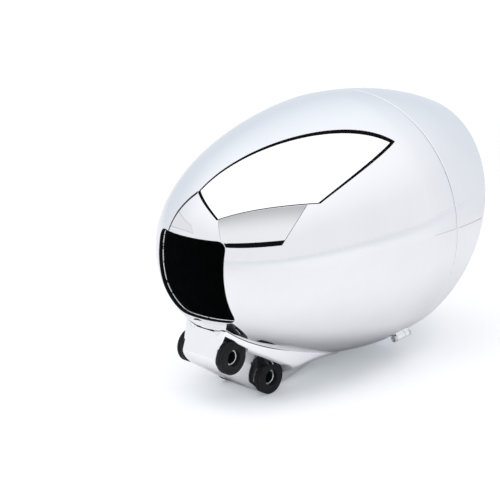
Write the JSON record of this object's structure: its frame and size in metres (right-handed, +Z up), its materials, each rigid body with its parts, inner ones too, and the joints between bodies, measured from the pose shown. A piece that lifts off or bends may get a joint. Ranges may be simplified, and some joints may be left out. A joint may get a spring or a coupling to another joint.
{
  "type": "round motorcycle headlight",
  "caption": "Chromed bullet-shaped motorcycle headlight with a browed bezel, domed lens, open rear and a rubber-bushed casting under the shell for cross bolts.",
  "frame": {"origin": "middle of the rear mounting bore, on the lamp's upright plane", "axes": "-Y is the way the lens looks, along the lamp's own axis, which lies 63.7 mm above the origin; +Z is up; +X lies along both mounting bores, towards the lamp's left-hand side for a rider behind it"},
  "size_m": [0.19, 0.2482, 0.196],
  "materials": {
    "chrome": "polished chrome plate on drawn steel",
    "cast_chrome": "chrome plate on a smoothed casting",
    "zinc_steel": "bright zinc plate on steel",
    "satin_black": "satin black paint on steel, also the inside of the shell",
    "rubber": "moulded black rubber",
    "lens_glass": "clear pressed glass with flutes on its inner face",
    "bulb_glass": "clear tubular glass",
    "reflector_mirror": "vacuum-plated bright bowl"
  },
  "bodies": {
    "root": {"headlight_shell": "chrome", "shell_dome": "chrome", "bezel": "chrome", "bezel_screws": "zinc_steel", "bezel_nuts": "zinc_steel", "lens_rim": "chrome", "lens_seal": "rubber", "lens": "lens_glass", "reflector": "reflector_mirror", "rim_clips": "zinc_steel", "bulb_glass": "bulb_glass", "bulb_base": "zinc_steel", "bulb_terminals": "zinc_steel", "bulb_clip": "zinc_steel", "rubber_boot": "rubber", "mounting_block": "cast_chrome", "rear_bush_left": "rubber", "rear_bush_right": "rubber", "front_bush_left": "rubber", "front_bush_right": "rubber", "rear_sleeve": "zinc_steel", "front_sleeve": "zinc_steel", "backing_plate": "satin_black", "block_washers": "zinc_steel", "block_bolts": "zinc_steel"}
  },
  "joints": []
}
